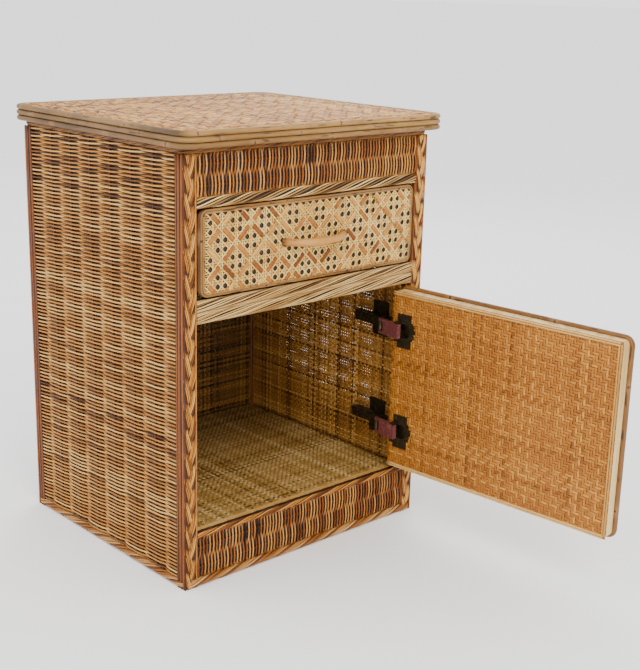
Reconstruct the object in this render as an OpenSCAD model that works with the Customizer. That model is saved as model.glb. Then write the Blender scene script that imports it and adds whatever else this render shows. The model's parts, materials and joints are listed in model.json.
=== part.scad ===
// Woven rattan nightstand: a cabinet with one drawer above one hinged door.
// Origin: centre of the underside. X to the right, Y to the back, Z up.

/* [Overall size] */
// Width of the top, rods included
top_w = 456; // [360:1:560]
// Depth of the top, rods included
top_d = 405; // [320:1:490]
// Height from the ground to the top
height = 600; // [500:1:720]

/* [Top] */
// How far the top stands out past the body at the left and the back
top_overhang = 12; // [6:1:20]
// How far the top stands out past the body at the right
top_right_overhang = 18; // [6:1:24]
// How far the top stands out past the body at the front
top_front_overhang = 17; // [6:1:24]
// Diameter of each of the three stacked rods round the top
top_rod_d = 7.5; // [6:0.5:10]
// Corner radius of the top
top_corner_r = 22; // [15:1:40]
// Thickness of the woven mat on the top
top_mat_t = 4; // [2:0.5:6]

/* [Frame] */
// Width of a braided corner post, seen from the front
post_w = 21; // [17:0.5:26]
// Depth of a braided corner post, seen from the side
post_d = 20; // [16:0.5:25]
// Diameter of the rattan pole inside a post
pole_d = 15; // [12:0.5:15.5]
// Height of the twisted border under the top
border_h = 7.5; // [5:0.5:10]
// Height of the twisted border at the ground
base_h = 12; // [8:1:16]
// Width of the battens under the body
batten_w = 24; // [15:1:30]

/* [Front levels] */
// Height of the woven plinth under the door
plinth_h = 57; // [40:1:75]
// Height of the braid at the front edge of the cabinet floor
floor_edge_h = 7; // [5:1:10]
// Height of the broad braid between door and drawer
lower_rail_h = 30; // [22:1:40]
// Height of the drawer opening
drawer_opening_h = 115; // [90:1:145]
// Height of the braid above the drawer
upper_rail_h = 14; // [13:1:20]
// Height of the woven fascia above that braid
fascia_h = 53; // [35:1:70]

/* [Skins] */
// Thickness of the woven sides and back
weave_t = 7; // [5:0.5:8]
// Thickness of the woven fascia and plinth
front_weave_t = 6; // [5:0.5:8]
// Thickness of the front braids
braid_t = 10; // [8:0.5:12]
// Thickness of the cane lining of the walls
lining_t = 1.6; // [1:0.2:2]
// Diameter of a stake in the weave
stake_d = 3; // [2:0.5:3.5]
// Distance between stakes in the sides and back
stake_pitch = 48; // [25:1:60]

/* [Inside] */
// Depth of the back wall: outer face to inner face
back_wall_t = 11; // [10:0.5:14]
// Thickness of the floor board
floor_t = 9; // [6:0.5:12]
// Thickness of the mat on the floor
floor_mat_t = 2; // [1:0.5:3]
// Thickness of the panel above the cabinet space
ceiling_t = 4; // [3:0.5:6]

/* [Door] */
// Gap round the door
door_gap = 2.5; // [2:0.5:4]
// Angle that the door stands open at rest
door_open = 95; // [0:1:95]
// Thickness of the door's core board
door_core_t = 15; // [13.5:0.5:18]
// How far the rods reach out past the core board
door_rod_reach = 5; // [3:0.5:6]
// Diameter of the rods that edge the door
door_rod_d = 8; // [6:0.5:10]
// Height of each hinge in from the end of the door
hinge_inset = 62; // [50:1:80]
// Distance of the door handle from the free edge
door_handle_inset = 30; // [24:1:60]
// Height of the door handle above the middle of the door
door_handle_rise = 0; // [-60:1:60]

/* [Drawer] */
// Gap round the drawer front
drawer_gap = 3; // [2:0.5:5]
// Diameter of the rods that edge the drawer front
drawer_rod_d = 8; // [6:0.5:10]
// Thickness of the drawer's front board
drawer_front_t = 14; // [10:0.5:16]
// Thickness of the drawer's sides and back
drawer_side_t = 10; // [8:0.5:12]
// Thickness of the drawer's bottom
drawer_bottom_t = 5; // [3:0.5:8]
// Height of the drawer's sides
drawer_side_h = 82; // [60:1:86]
// Space between the drawer's back and the cabinet's back wall
drawer_back_space = 35; // [20:1:60]
// Height of a drawer runner
runner_h = 11.5; // [9:0.5:12]

/* [Handles] */
// Distance between the feet of a bow handle
handle_span = 114; // [90:1:150]
// How far the middle line of a bow handle stands out
handle_rise = 25; // [20:1:35]
// Diameter of the handle's rattan
handle_d = 9.5; // [7:0.5:12]

/* [Hinges] */
// Diameter of the hinge cup
cup_d = 35; // [26:0.5:36]
// Depth of the hinge cup below the door's inner face
cup_depth = 11; // [8:0.5:12]
// Diameter of the hinge pin
hinge_pin_d = 3; // [2:0.5:3.5]
// Thickness of the hinge link
link_t = 6; // [4.5:0.5:7]
// Height of the hinge link
link_h = 22; // [18:1:26]

/* [Hidden] */
$fn = 48;

fit = 0.2;          // gap between neighbours that only lie beside each other
bore_fit = 0.1;     // radial gap round a pole or a stake
pin_fit = 0.05;     // radial gap round a hinge pin
seam = 0.5;         // gap between the ends of border and batten pieces
eps = 0.5;          // how far a cutting shape runs past what it cuts

// Body
body_w = top_w - top_overhang - top_right_overhang;
body_d = top_d - top_overhang - top_front_overhang;
top_x = (top_right_overhang - top_overhang) / 2;
top_y = (top_overhang - top_front_overhang) / 2;
inner_x = body_w / 2 - post_w;       // inner face of a post
inner_y = body_d / 2 - post_d;
pole_x = body_w / 2 - post_w / 2;
pole_y = body_d / 2 - post_d / 2;
top_t = 3 * top_rod_d;

// Levels, from the ground up and from the top down
floor_z = base_h + plinth_h + floor_edge_h;
border_top_z = height - top_t;
fascia_top_z = border_top_z - border_h;
upper_rail_top_z = fascia_top_z - fascia_h;
drawer_top_z = upper_rail_top_z - upper_rail_h;
drawer_low_z = drawer_top_z - drawer_opening_h;
door_top_z = drawer_low_z - lower_rail_h;

// Rails fill the space between the weave and the lining of a side
rail_d = post_w - weave_t - lining_t - 2 * fit;
rail_x = body_w / 2 - weave_t - fit - rail_d / 2;
rail_back_y = body_d / 2 - weave_t - fit - rail_d / 2;
rail_front_y = -(body_d / 2 - front_weave_t - fit - rail_d / 2);
rail_braid_y = -(body_d / 2 - braid_t - fit - rail_d / 2);
floor_low_z = floor_z - floor_mat_t - floor_t;
floor_rail_z = floor_low_z - fit - rail_d / 2;
middle_rail_z = drawer_low_z - lower_rail_h / 2;
upper_rail_z = upper_rail_top_z - max(upper_rail_h, rail_d) / 2;
top_rail_z = fascia_top_z - fit - rail_d / 2;
ceiling_top_z = middle_rail_z - rail_d / 2 - fit;
back_wall_y = body_d / 2 - back_wall_t;
board_x = inner_x - fit;

// Door, as it stands when closed
door_w = 2 * inner_x - 2 * (door_gap + 1);
door_low_z = floor_z + door_gap;
door_high_z = door_top_z - door_gap;
door_h = door_high_z - door_low_z;
door_mid_z = (door_low_z + door_high_z) / 2;
door_corner_r = 14;
door_proud = 3;                       // the edging stands this far past the posts
panel_cane_t = 1.5;
panel_inner_rod_t = 3;
door_board_front_y = -body_d / 2 - door_proud + door_rod_d;
door_board_back_y = door_board_front_y + door_core_t;
door_lining_t = 2;
door_inner_y = door_board_back_y + door_lining_t;
door_board_w = door_w - 2 * door_rod_reach;
door_board_h = door_h - 2 * door_rod_reach;
door_cane_w = door_w - 2 * door_rod_d;
door_cane_h = door_h - 2 * door_rod_d;
door_edge_x = door_board_w / 2;
trim_w = 9;
trim_t = 0.8;

// Door pivot: behind the front edge, in from the post
pivot_x = inner_x - 11.5;
pivot_y = -body_d / 2 + 4;
hinge_z = [door_high_z - hinge_inset, door_low_z + hinge_inset];

// Hinge: the arm on the wall, the link, and the cup in the door
full_open = 95;                       // the hinge's greatest opening
link_pin_x = pivot_x - (door_inner_y - pivot_y) - 2.5;
link_pin_y = door_inner_y + 6;
link_len = 38;
link_open_angle = 264.7;
link_rest_angle = link_open_angle - (full_open - door_open);
link_plate_t = 3.5;
link_clear = 1;
arm_half_h = link_h / 2 - link_plate_t - 0.5;
arm_knuckle_r = 3.4;
arm_root_x = inner_x - 10;
arm_root_y = link_pin_y + 14;
arm_len = 60;
arm_t = 6;
plate_t = 3;
plate_h = 52;
plate_len = 30;
cup_inset = 22.5;
cup_wall = 1.2;
flange_t = 2;
flange_h = 50;
flange_w = 24;
ear_t = 2;
ear_h = 9;
screw_inset = 6;                      // from the end of a plate or a flange
screw_r = 3;
screw_h = 1;

// Drawer, closed
drawer_w = 2 * inner_x - 2 * drawer_gap;
drawer_front_low_z = drawer_low_z + drawer_gap + 1.5;
drawer_front_high_z = drawer_top_z - drawer_gap;
drawer_h = drawer_front_high_z - drawer_front_low_z;
drawer_mid_z = (drawer_front_low_z + drawer_front_high_z) / 2;
drawer_corner_r = 12;
drawer_board_w = drawer_w - 2 * drawer_rod_d;
drawer_board_h = drawer_h - 2 * drawer_rod_d;
drawer_board_front_y = -body_d / 2 + 2;
drawer_board_back_y = drawer_board_front_y + drawer_front_t;
drawer_proud = 2;                     // the edging stands this far past the posts
drawer_edging_t = 11;                 // the outer edging, front to back
runner_low_z = middle_rail_z + rail_d / 2 + fit;
runner_high_z = runner_low_z + runner_h;
runner_clear = 0.3;
runner_front_y = drawer_board_back_y + 7;
runner_w = 22;
guide_t = 9;
guide_h = 14;
guide_clear = 0.8;
drawer_box_x = inner_x - 2 - guide_t - guide_clear;
drawer_side_low_z = runner_high_z + runner_clear;
drawer_bottom_z = drawer_side_low_z + 3;
drawer_back_y = back_wall_y - drawer_back_space;
inner_rod_w = 7;

// Bow handle: an arc through both feet and the middle
bow_r = (pow(handle_span / 2, 2) + pow(handle_rise, 2)) / (2 * handle_rise);
bow_half_angle = asin(handle_span / 2 / bow_r);

// Outline of a rectangle with round corners, centred
function round_rect(w, d, r, steps = 8) = [
    for (q = [0:3]) for (i = [0:steps])
        let (a = 90 * q + 90 * i / steps,
             cx = (q == 0 || q == 3) ? w / 2 - r : r - w / 2,
             cy = (q < 2) ? d / 2 - r : r - d / 2)
        [cx + r * cos(a), cy + r * sin(a)]
];

// Stake places along a span, evenly spread, about one pitch apart
function stake_places(span, pitch) =
    let (gaps = max(2, round(span / pitch)))
    [for (i = [1:gaps - 1]) -span / 2 + span * i / gaps];

// A box from its lowest to its highest corner
module block(low, high) {
    translate(low) cube(high - low);
}

module plate(w, d, r, t, z) {
    translate([0, 0, z]) linear_extrude(t) polygon(round_rect(w, d, r));
}

module flat_ring(w, d, r, band, t, z) {
    translate([0, 0, z]) linear_extrude(t) difference() {
        polygon(round_rect(w, d, r));
        polygon(round_rect(w - 2 * band, d - 2 * band, max(r - band, 1)));
    }
}

// Upright panel and ring: centred on X, from back_y towards the front
module panel(w, h, r, t, back_y, mid_z) {
    translate([0, back_y, mid_z]) rotate([90, 0, 0])
        linear_extrude(t) polygon(round_rect(w, h, r));
}

module panel_ring(w, h, r, band, t, back_y, mid_z) {
    translate([0, back_y, mid_z]) rotate([90, 0, 0]) linear_extrude(t) difference() {
        polygon(round_rect(w, h, r));
        polygon(round_rect(w - 2 * band, h - 2 * band, max(r - band, 1)));
    }
}

module rod_x(length, y, z, d) {
    translate([-length / 2, y, z]) rotate([0, 90, 0]) cylinder(h = length, d = d);
}

module rod_y(length, x, z, d) {
    translate([x, length / 2, z]) rotate([90, 0, 0]) cylinder(h = length, d = d);
}

// Bow that stands out towards -Y from the plane y = 0, its feet along X
module bow() {
    intersection() {
        translate([0, bow_r - handle_rise, 0]) rotate([0, 0, 270 - bow_half_angle - 8])
            rotate_extrude(angle = 2 * bow_half_angle + 16)
                translate([bow_r, 0]) circle(d = handle_d);
        block([-handle_span, -handle_rise - handle_d, -handle_d], [handle_span, 0, handle_d]);
    }
}

// Where a point stands in the closed door, given where it stands with the door fully open
function in_closed_door(x, y) =
    let (dx = x - pivot_x, dy = y - pivot_y)
    [pivot_x + dx * cos(full_open) + dy * sin(full_open),
     pivot_y - dx * sin(full_open) + dy * cos(full_open)];

// Turns the closed door's pieces to the angle at rest
module door_at_rest() {
    translate([pivot_x, pivot_y, 0]) rotate([0, 0, door_open])
        translate([-pivot_x, -pivot_y, 0]) children();
}

// ---- Frame ----

module post(side, end) {
    color("burlywood") translate([side * pole_x, end * pole_y, 0])
        cylinder(h = fascia_top_z, d = pole_d);
}

module post_wrap(side, end) {
    color("peru") difference() {
        translate([side * pole_x, end * pole_y, fascia_top_z / 2])
            cube([post_w, post_d, fascia_top_z], center = true);
        translate([side * pole_x, end * pole_y, -eps])
            cylinder(h = fascia_top_z + 2 * eps, d = pole_d + 2 * bore_fit);
    }
}

// Front, back and side battens with a brace through the middle
module base_frame() {
    front_y = body_d / 2 - braid_t - fit;
    side_y = front_y - batten_w - seam;
    side_x = body_w / 2 - weave_t - fit;
    color("tan") {
        for (end = [-1, 1]) translate([0, end * (front_y - batten_w / 2), base_h / 2])
            cube([2 * board_x, batten_w, base_h], center = true);
        for (side = [-1, 1])
            translate([side * (side_x - batten_w / 2), 0, base_h / 2])
                cube([batten_w, 2 * side_y, base_h], center = true);
        translate([0, 0, base_h / 2]) cube([2 * batten_w, 2 * side_y, base_h], center = true);
    }
}

// Rails from post to post at one height
module rail_set(front_y, z) {
    for (y = [front_y, rail_back_y]) rod_x(2 * inner_x, y, z, rail_d);
    for (side = [-1, 1]) rod_y(2 * inner_y, side * rail_x, z, rail_d);
}

module floor_frame() {
    color("burlywood") rail_set(rail_front_y, floor_rail_z);
}

module drawer_frame() {
    color("burlywood") rail_set(rail_braid_y, middle_rail_z);
}

module top_frame() {
    color("burlywood") {
        rail_set(rail_front_y, top_rail_z);
        rod_x(2 * inner_x, rail_braid_y, upper_rail_z, rail_d);
    }
}

// ---- Woven skins and their stakes ----

module side_weave(side) {
    mid_x = side * (body_w / 2 - weave_t / 2);
    color("burlywood") difference() {
        translate([mid_x, 0, (base_h + fascia_top_z) / 2])
            cube([weave_t, 2 * inner_y, fascia_top_z - base_h], center = true);
        for (y = stake_places(2 * inner_y, stake_pitch)) translate([mid_x, y, base_h - eps])
            cylinder(h = fascia_top_z - base_h + 2 * eps, d = stake_d + 2 * bore_fit);
    }
}

module side_stakes() {
    color("saddlebrown")
        for (side = [-1, 1]) for (y = stake_places(2 * inner_y, stake_pitch))
            translate([side * (body_w / 2 - weave_t / 2), y, base_h])
                cylinder(h = fascia_top_z - base_h, d = stake_d);
}

module back_weave() {
    mid_y = body_d / 2 - weave_t / 2;
    color("burlywood") difference() {
        translate([0, mid_y, (base_h + fascia_top_z) / 2])
            cube([2 * inner_x, weave_t, fascia_top_z - base_h], center = true);
        for (x = stake_places(2 * inner_x, stake_pitch)) translate([x, mid_y, base_h - eps])
            cylinder(h = fascia_top_z - base_h + 2 * eps, d = stake_d + 2 * bore_fit);
    }
}

module back_stakes() {
    color("saddlebrown") for (x = stake_places(2 * inner_x, stake_pitch))
        translate([x, body_d / 2 - weave_t / 2, base_h])
            cylinder(h = fascia_top_z - base_h, d = stake_d);
}

// Heights of the two level stakes in a front weave of height h from low_z
function front_stake_heights(low_z, h) = [low_z + h / 4, low_z + 3 * h / 4];
front_weave_y = -(body_d / 2 - front_weave_t / 2);

module front_weave(low_z, h) {
    difference() {
        translate([0, front_weave_y, low_z + h / 2])
            cube([2 * inner_x, front_weave_t, h], center = true);
        for (z = front_stake_heights(low_z, h))
            rod_x(2 * inner_x + 2 * eps, front_weave_y, z, stake_d + 2 * bore_fit);
    }
}

module fascia_weave() {
    color("sienna") front_weave(upper_rail_top_z, fascia_h);
}

module plinth_weave() {
    color("sienna") front_weave(base_h, plinth_h);
}

module front_stakes() {
    color("saddlebrown")
        for (z = concat(front_stake_heights(upper_rail_top_z, fascia_h),
                        front_stake_heights(base_h, plinth_h)))
            rod_x(2 * inner_x, front_weave_y, z, stake_d);
}

// ---- Braids and borders ----

module front_braid(low_z, high_z) {
    block([-inner_x, -body_d / 2, low_z], [inner_x, -body_d / 2 + braid_t, high_z]);
}

module base_braid() {
    color("peru") {
        front_braid(0, base_h);
        mirror([0, 1, 0]) front_braid(0, base_h);
        for (side = [-1, 1])
            translate([side * (body_w / 2 - weave_t / 2), 0, base_h / 2])
                cube([weave_t, 2 * inner_y, base_h], center = true);
    }
}

module floor_edge_braid() {
    color("peru") front_braid(base_h + plinth_h, floor_z);
}

module lower_rail_braid() {
    color("wheat") front_braid(door_top_z, drawer_low_z);
}

module upper_rail_braid() {
    color("peru") front_braid(drawer_top_z, upper_rail_top_z);
}

// Border pieces on the posts: long ones at front and back, short ones between
module top_border() {
    color("peru") {
        for (end = [-1, 1])
            translate([0, end * (body_d / 2 - post_d / 2), fascia_top_z + border_h / 2])
                cube([body_w, post_d, border_h], center = true);
        for (side = [-1, 1])
            translate([side * (body_w / 2 - post_d / 2), 0, fascia_top_z + border_h / 2])
                cube([post_d, 2 * (inner_y - seam), border_h], center = true);
    }
}

// ---- Top ----

inner_top_w = top_w - 2 * top_rod_d;
inner_top_d = top_d - 2 * top_rod_d;
inner_top_r = top_corner_r - top_rod_d;

module top_board() {
    color("tan") translate([top_x, top_y, 0])
        plate(inner_top_w, inner_top_d, inner_top_r, top_t - top_mat_t, border_top_z);
}

module top_mat() {
    color("goldenrod") translate([top_x, top_y, 0])
        plate(inner_top_w, inner_top_d, inner_top_r, top_mat_t, height - top_mat_t);
}

module top_rod(level) {
    color("burlywood") translate([top_x, top_y, 0])
        flat_ring(top_w, top_d, top_corner_r, top_rod_d, top_rod_d, border_top_z + level * top_rod_d);
}

// ---- Inside of the cabinet ----

module cabinet_floor() {
    color("tan") block([-board_x, -body_d / 2 + braid_t + fit, floor_low_z],
                       [board_x, back_wall_y - fit, floor_z - floor_mat_t]);
}

module floor_mat() {
    color("darkkhaki") block([-board_x, -body_d / 2 + braid_t + fit, floor_z - floor_mat_t],
                             [board_x, back_wall_y - fit, floor_z]);
}

module cabinet_ceiling() {
    color("tan") block([-board_x, -body_d / 2 + braid_t + fit, ceiling_top_z - ceiling_t],
                       [board_x, back_wall_y + lining_t, ceiling_top_z]);
}

module lining_side(side) {
    color("cornsilk") translate([side * (inner_x + lining_t / 2), 0,
                                 (floor_low_z + ceiling_top_z - ceiling_t) / 2])
        cube([lining_t, 2 * inner_y, ceiling_top_z - ceiling_t - floor_low_z], center = true);
}

module lining_back() {
    color("cornsilk") block([-board_x, back_wall_y, floor_low_z],
                            [board_x, back_wall_y + lining_t, ceiling_top_z - ceiling_t]);
}

// Ledge that the drawer slides on, with a guide along its outer side
module drawer_runner(side) {
    outer = inner_x - 2;
    profile = [[outer - runner_w, runner_low_z], [outer, runner_low_z],
               [outer, runner_high_z + guide_h], [outer - guide_t, runner_high_z + guide_h],
               [outer - guide_t, runner_high_z], [outer - runner_w, runner_high_z]];
    length = back_wall_y - fit - runner_front_y;
    color("tan") mirror([side < 0 ? 1 : 0, 0, 0])
        translate([0, runner_front_y + length, 0]) rotate([90, 0, 0])
            linear_extrude(length) polygon(profile);
}

// ---- Drawer ----

module drawer_front_board() {
    color("tan") panel(drawer_board_w, drawer_board_h, drawer_corner_r / 2, drawer_front_t,
                       drawer_board_back_y, drawer_mid_z);
}

module drawer_cane() {
    color("cornsilk") panel(drawer_board_w, drawer_board_h, drawer_corner_r / 2, panel_cane_t,
                            drawer_board_front_y, drawer_mid_z);
}

module drawer_edging_outer() {
    color("burlywood") panel_ring(drawer_w, drawer_h, drawer_corner_r, drawer_rod_d, drawer_edging_t,
        -body_d / 2 - drawer_proud + drawer_edging_t, drawer_mid_z);
}

module drawer_edging_inner() {
    color("burlywood") panel_ring(drawer_board_w, drawer_board_h, drawer_corner_r / 2, inner_rod_w,
        panel_inner_rod_t, drawer_board_front_y - panel_cane_t, drawer_mid_z);
}

module drawer_handle() {
    color("peru") translate([0, drawer_board_front_y - panel_cane_t, drawer_mid_z]) bow();
}

module drawer_side(side) {
    color("tan") translate([side * (drawer_box_x - drawer_side_t / 2), 0, 0])
        block([-drawer_side_t / 2, drawer_board_back_y, drawer_side_low_z],
              [drawer_side_t / 2, drawer_back_y, drawer_side_low_z + drawer_side_h]);
}

module drawer_back() {
    half = drawer_box_x - drawer_side_t;
    color("tan") block([-half, drawer_back_y - drawer_side_t, drawer_bottom_z],
                       [half, drawer_back_y, drawer_side_low_z + drawer_side_h]);
}

module drawer_bottom() {
    half = drawer_box_x - drawer_side_t;
    color("tan") block([-half, drawer_board_back_y, drawer_bottom_z],
                       [half, drawer_back_y - drawer_side_t, drawer_bottom_z + drawer_bottom_t]);
}

// ---- Door ----

cup_x = door_edge_x - cup_inset;

// The pocket for one cup, from the inner face
module cup_pocket(z, clearance) {
    translate([cup_x, door_inner_y + eps, z]) rotate([90, 0, 0])
        cylinder(h = cup_depth + eps + clearance, d = cup_d + 2 * clearance);
}

module door_board() {
    color("burlywood") door_at_rest() difference() {
        panel(door_board_w, door_board_h, door_corner_r / 2, door_core_t, door_board_back_y, door_mid_z);
        for (z = hinge_z) cup_pocket(z, bore_fit);
    }
}

module door_lining() {
    color("peru") door_at_rest() difference() {
        panel(door_board_w, door_board_h, door_corner_r / 2, door_lining_t, door_inner_y, door_mid_z);
        for (z = hinge_z) cup_pocket(z, bore_fit);
    }
}

module door_cane() {
    color("cornsilk") door_at_rest() panel(door_cane_w, door_cane_h, door_corner_r / 2,
        panel_cane_t, door_board_front_y, door_mid_z);
}

module door_edging_outer() {
    color("burlywood") door_at_rest() panel_ring(door_w, door_h, door_corner_r, door_rod_d,
        door_rod_d, door_board_front_y, door_mid_z);
}

module door_edging_inner() {
    color("burlywood") door_at_rest() panel_ring(door_cane_w, door_cane_h, door_corner_r / 2,
        inner_rod_w, panel_inner_rod_t, door_board_front_y - panel_cane_t, door_mid_z);
}

// Split-cane strips on the inner face, along the top, the free side and the bottom
module door_trim() {
    low_x = -door_board_w / 2;
    high_x = door_edge_x - cup_inset - flange_w / 2 - 2;
    low = door_mid_z - door_board_h / 2;
    high = door_mid_z + door_board_h / 2;
    color("khaki") door_at_rest() translate([0, door_inner_y, 0]) {
        block([low_x + trim_w + seam, 0, high - trim_w], [high_x, trim_t, high]);
        block([low_x + trim_w + seam, 0, low], [high_x, trim_t, low + trim_w]);
        block([low_x, 0, low], [low_x + trim_w, trim_t, high]);
    }
}

module door_handle() {
    color("peru") door_at_rest()
        translate([-door_w / 2 + door_handle_inset, door_board_front_y - panel_cane_t,
                   door_mid_z + door_handle_rise])
            rotate([0, 90, 0]) bow();
}

// ---- Hinges ----

// Cup sunk in the door, its flange on the inner face and two ears for the link's far end
module hinge_cup(z) {
    ear_z = link_h / 2 + link_clear;
    ear_x = in_closed_door(link_pin_x + link_len * cos(link_open_angle),
                           link_pin_y + link_len * sin(link_open_angle))[0];
    color("dimgray") door_at_rest() {
        difference() {
            union() {
                translate([cup_x, door_inner_y, z]) rotate([90, 0, 0])
                    cylinder(h = cup_depth, d = cup_d);
                translate([cup_x - flange_w / 2, door_inner_y, z - flange_h / 2])
                    cube([flange_w, flange_t, flange_h]);
            }
            translate([cup_x, door_inner_y + flange_t + eps, z]) rotate([90, 0, 0])
                cylinder(h = cup_depth + flange_t + eps - cup_wall, d = flange_w - 2 * cup_wall);
        }
        for (low = [ear_z, -ear_z - ear_t])
            translate([ear_x - ear_h / 2, door_inner_y + flange_t - eps, z + low])
                cube([ear_h, ear_h + eps, ear_t]);
        for (end = [-1, 1])
            translate([cup_x, door_inner_y + flange_t + screw_h, z + end * (flange_h / 2 - screw_inset)])
                rotate([90, 0, 0]) cylinder(h = screw_h + eps, r = screw_r);
    }
}

// Plate on the wall, cranked arm, and the pin that the link turns on
module hinge_arm(z) {
    color("dimgray") translate([0, 0, z]) {
        block([inner_x - plate_t, arm_root_y, -plate_h / 2],
              [inner_x, arm_root_y + plate_len, plate_h / 2]);
        translate([0, 0, -arm_half_h]) linear_extrude(2 * arm_half_h) polygon([
            [inner_x - plate_t + eps, arm_root_y + arm_len - 8],
            [arm_root_x - arm_t / 3, arm_root_y + arm_len],
            [arm_root_x - arm_t, arm_root_y + arm_len - arm_t],
            [arm_root_x - arm_t, arm_root_y],
            [link_pin_x, link_pin_y + arm_knuckle_r],
            [link_pin_x, link_pin_y - arm_knuckle_r + 0.4],
            [arm_root_x + 3, arm_root_y - 12],
            [inner_x - plate_t + eps, arm_root_y + 2]]);
        translate([link_pin_x, link_pin_y, -arm_half_h])
            cylinder(h = 2 * arm_half_h, r = arm_knuckle_r);
        translate([link_pin_x, link_pin_y, -link_h / 2])
            cylinder(h = link_h, d = hinge_pin_d);
        for (end = [-1, 1])
            translate([inner_x - plate_t - screw_h, arm_root_y + plate_len / 2,
                       end * (plate_h / 2 - screw_inset)])
                rotate([0, 90, 0]) cylinder(h = screw_h + eps, r = screw_r);
    }
}

// Fork that turns on the arm's pin and ends in a block between the cup's ears
module hinge_link(z) {
    block_from = 8;
    color("rosybrown") translate([link_pin_x, link_pin_y, z]) rotate([0, 0, link_rest_angle])
        difference() {
            union() {
                for (low = [-link_h / 2, link_h / 2 - link_plate_t]) translate([0, 0, low]) {
                    cylinder(h = link_plate_t, d = link_t);
                    translate([0, -link_t / 2, 0]) cube([link_len, link_t, link_plate_t]);
                }
                translate([block_from, -link_t / 2, -link_h / 2])
                    cube([link_len - block_from + link_t / 2, link_t, link_h]);
            }
            translate([0, 0, -link_h / 2 - eps])
                cylinder(h = link_h + 2 * eps, d = hinge_pin_d + 2 * pin_fit);
        }
}

post(-1, -1);  // post_front_left
post(1, -1);  // post_front_right
post(-1, 1);  // post_back_left
post(1, 1);  // post_back_right
post_wrap(-1, -1);  // post_wrap_front_left
post_wrap(1, -1);  // post_wrap_front_right
post_wrap(-1, 1);  // post_wrap_back_left
post_wrap(1, 1);  // post_wrap_back_right
base_frame();
floor_frame();
drawer_frame();
top_frame();
side_weave(-1);  // side_weave_left
side_weave(1);  // side_weave_right
back_weave();
fascia_weave();
plinth_weave();
side_stakes();
back_stakes();
front_stakes();
base_braid();
floor_edge_braid();
lower_rail_braid();
upper_rail_braid();
top_border();
top_board();
top_mat();
top_rod(0);  // top_rod_lower
top_rod(1);  // top_rod_middle
top_rod(2);  // top_rod_upper
cabinet_floor();
floor_mat();
cabinet_ceiling();
lining_side(-1);  // lining_left
lining_side(1);  // lining_right
lining_back();
drawer_runner(-1);  // drawer_runner_left
drawer_runner(1);  // drawer_runner_right
hinge_arm(hinge_z[0]);  // hinge_arm_upper
hinge_arm(hinge_z[1]);  // hinge_arm_lower
drawer_front_board();
drawer_cane();
drawer_edging_outer();
drawer_edging_inner();
drawer_handle();
drawer_side(-1);  // drawer_side_left
drawer_side(1);  // drawer_side_right
drawer_back();
drawer_bottom();
door_board();
door_cane();
door_lining();
door_edging_outer();
door_edging_inner();
door_trim();
door_handle();
hinge_cup(hinge_z[0]);  // hinge_cup_upper
hinge_cup(hinge_z[1]);  // hinge_cup_lower
hinge_link(hinge_z[0]);  // hinge_link_upper
hinge_link(hinge_z[1]);  // hinge_link_lower
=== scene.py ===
import json
import math

import bmesh
import bpy
import numpy as np
from mathutils import Matrix, Vector


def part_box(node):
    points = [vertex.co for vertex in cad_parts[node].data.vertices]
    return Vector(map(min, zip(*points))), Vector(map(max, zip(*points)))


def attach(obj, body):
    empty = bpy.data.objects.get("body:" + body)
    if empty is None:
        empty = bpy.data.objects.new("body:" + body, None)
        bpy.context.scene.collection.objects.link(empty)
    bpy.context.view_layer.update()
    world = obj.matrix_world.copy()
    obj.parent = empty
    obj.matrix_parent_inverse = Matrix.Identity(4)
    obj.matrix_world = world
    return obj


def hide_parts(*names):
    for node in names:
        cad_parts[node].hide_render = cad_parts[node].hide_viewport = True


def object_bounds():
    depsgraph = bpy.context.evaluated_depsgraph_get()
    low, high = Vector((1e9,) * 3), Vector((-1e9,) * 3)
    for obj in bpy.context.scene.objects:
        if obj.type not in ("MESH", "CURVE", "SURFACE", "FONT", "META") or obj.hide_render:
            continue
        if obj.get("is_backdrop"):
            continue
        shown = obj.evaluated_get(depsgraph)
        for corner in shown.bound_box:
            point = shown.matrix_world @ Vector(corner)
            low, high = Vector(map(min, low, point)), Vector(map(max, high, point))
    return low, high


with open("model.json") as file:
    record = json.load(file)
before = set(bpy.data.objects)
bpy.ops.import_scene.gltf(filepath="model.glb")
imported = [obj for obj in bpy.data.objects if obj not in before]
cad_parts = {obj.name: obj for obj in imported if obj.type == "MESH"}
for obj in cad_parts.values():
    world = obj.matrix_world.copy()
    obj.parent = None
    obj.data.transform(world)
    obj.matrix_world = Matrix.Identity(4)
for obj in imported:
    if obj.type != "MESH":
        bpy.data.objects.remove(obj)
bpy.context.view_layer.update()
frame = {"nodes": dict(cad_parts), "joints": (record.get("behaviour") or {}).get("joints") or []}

# A woven rattan nightstand. Lengths are in metres; places come from the CAD boxes.
rng = np.random.default_rng(11)
MM = 0.001


# ---------------------------------------------------------------- places

def box(node):
    """Low and high corners of a CAD node."""
    low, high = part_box(node)
    return np.array(low), np.array(high)


def joint(name):
    return next(j for j in frame["joints"] if j["name"] == name)


def facing(origin, across, up):
    """Matrix from a flat working plane (across, up, outwards) to its place on the cabinet."""
    across, up = Vector(across), Vector(up)
    out = across.cross(up)
    turn = Matrix((across, up, out)).transposed().to_4x4()
    return Matrix.Translation(Vector(origin)) @ turn


door_joint = joint("door_swing")
door_pivot = Vector(door_joint["pos_m"])
door_open = math.radians(-door_joint["range_deg"][0])
door_at_rest = (Matrix.Translation(door_pivot) @ Matrix.Rotation(door_open, 4, "Z")
                @ Matrix.Translation(-door_pivot))


def closed_box(node):
    """Box of one of the door's nodes, as if the door were closed."""
    back = door_at_rest.inverted()
    points = np.array([back @ v.co for v in frame["nodes"][node].data.vertices])
    return points.min(0), points.max(0)


# ---------------------------------------------------------------- materials

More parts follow.
